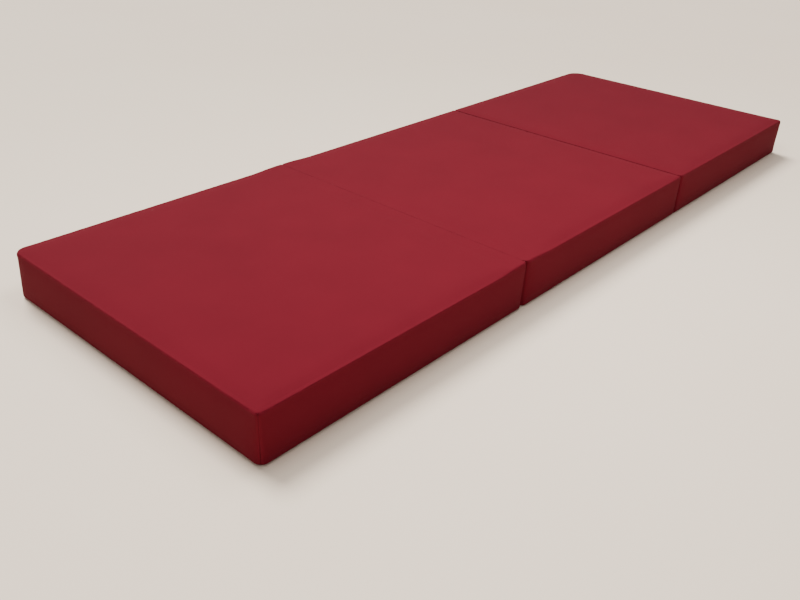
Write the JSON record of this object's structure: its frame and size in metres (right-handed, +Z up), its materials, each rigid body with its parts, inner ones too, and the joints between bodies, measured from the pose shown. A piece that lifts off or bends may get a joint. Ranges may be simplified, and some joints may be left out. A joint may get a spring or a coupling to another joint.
{
  "type": "folding futon mattress",
  "caption": "Folding foam futon mattress of equal zipped cloth-covered sections that fold like a fan on cloth hinges.",
  "frame": {"origin": "middle of the underside of the opened-out mattress, on the floor", "axes": "+X along the length from the head section to the foot section, -Y out of the front side, zips on the +Y side, +Z up out of the lying surface"},
  "size_m": [1.95, 0.7056, 0.1],
  "materials": {
    "cover_cloth": "matte",
    "foam": "matte",
    "hinge_cloth": "matte",
    "zip_tape": "matte",
    "zip_teeth": "satin",
    "zip_metal": "satin",
    "label_cloth": "satin"
  },
  "bodies": {
    "head_section": {"head_foam_core": "foam", "head_top_panel": "cover_cloth", "head_bottom_panel": "cover_cloth", "head_front_border": "cover_cloth", "head_left_border": "cover_cloth", "head_right_border": "cover_cloth", "head_back_border_upper": "cover_cloth", "head_back_border_lower": "cover_cloth", "head_zip_tape_upper": "zip_tape", "head_zip_tape_lower": "zip_tape", "head_zip_teeth_upper": "zip_teeth", "head_zip_teeth_lower": "zip_teeth", "head_zip_end_stops": "zip_metal", "head_fold_strip": "hinge_cloth", "care_label": "label_cloth"},
    "middle_section": {"middle_foam_core": "foam", "middle_top_panel": "cover_cloth", "middle_bottom_panel": "cover_cloth", "middle_front_border": "cover_cloth", "middle_left_border": "cover_cloth", "middle_right_border": "cover_cloth", "middle_back_border_upper": "cover_cloth", "middle_back_border_lower": "cover_cloth", "middle_zip_tape_upper": "zip_tape", "middle_zip_tape_lower": "zip_tape", "middle_zip_teeth_upper": "zip_teeth", "middle_zip_teeth_lower": "zip_teeth", "middle_zip_end_stops": "zip_metal"},
    "foot_section": {"foot_foam_core": "foam", "foot_top_panel": "cover_cloth", "foot_bottom_panel": "cover_cloth", "foot_front_border": "cover_cloth", "foot_left_border": "cover_cloth", "foot_right_border": "cover_cloth", "foot_back_border_upper": "cover_cloth", "foot_back_border_lower": "cover_cloth", "foot_zip_tape_upper": "zip_tape", "foot_zip_tape_lower": "zip_tape", "foot_zip_teeth_upper": "zip_teeth", "foot_zip_teeth_lower": "zip_teeth", "foot_zip_end_stops": "zip_metal", "foot_fold_strip": "hinge_cloth"},
    "head_slider": {"head_zip_slider": "zip_metal"},
    "head_pull": {"head_zip_pull": "zip_metal"},
    "middle_slider": {"middle_zip_slider": "zip_metal"},
    "middle_pull": {"middle_zip_pull": "zip_metal"},
    "foot_slider": {"foot_zip_slider": "zip_metal"},
    "foot_pull": {"foot_zip_pull": "zip_metal"}
  },
  "joints": [
    {"name": "head_fold", "type": "hinge", "parent": "head_section", "child": "middle_section", "pos_m": [-0.325, 0, 0.1003], "axis": [0, -1, 0], "range_deg": [0, 180], "deforming": ["head_fold_strip"]},
    {"name": "foot_fold", "type": "hinge", "parent": "middle_section", "child": "foot_section", "pos_m": [0.325, 0, -0.0003], "axis": [0, 1, 0], "range_deg": [0, 180], "deforming": ["foot_fold_strip"]},
    {"name": "head_zip_slide", "type": "slide", "parent": "head_section", "child": "head_slider", "axis": [1, 0, 0], "range_m": [0, 0.5823]},
    {"name": "head_pull_swing", "type": "hinge", "parent": "head_slider", "child": "head_pull", "pos_m": [-0.9417, 0.3541, 0.05], "axis": [0, 0, 1], "range_deg": [0, 180]},
    {"name": "middle_zip_slide", "type": "slide", "parent": "middle_section", "child": "middle_slider", "axis": [1, 0, 0], "range_m": [0, 0.5813]},
    {"name": "middle_pull_swing", "type": "hinge", "parent": "middle_slider", "child": "middle_pull", "pos_m": [-0.2907, 0.3541, 0.05], "axis": [0, 0, 1], "range_deg": [0, 180]},
    {"name": "foot_zip_slide", "type": "slide", "parent": "foot_section", "child": "foot_slider", "axis": [1, 0, 0], "range_m": [0, 0.5823]},
    {"name": "foot_pull_swing", "type": "hinge", "parent": "foot_slider", "child": "foot_pull", "pos_m": [0.3593, 0.3541, 0.05], "axis": [0, 0, 1], "range_deg": [0, 180]}
  ]
}
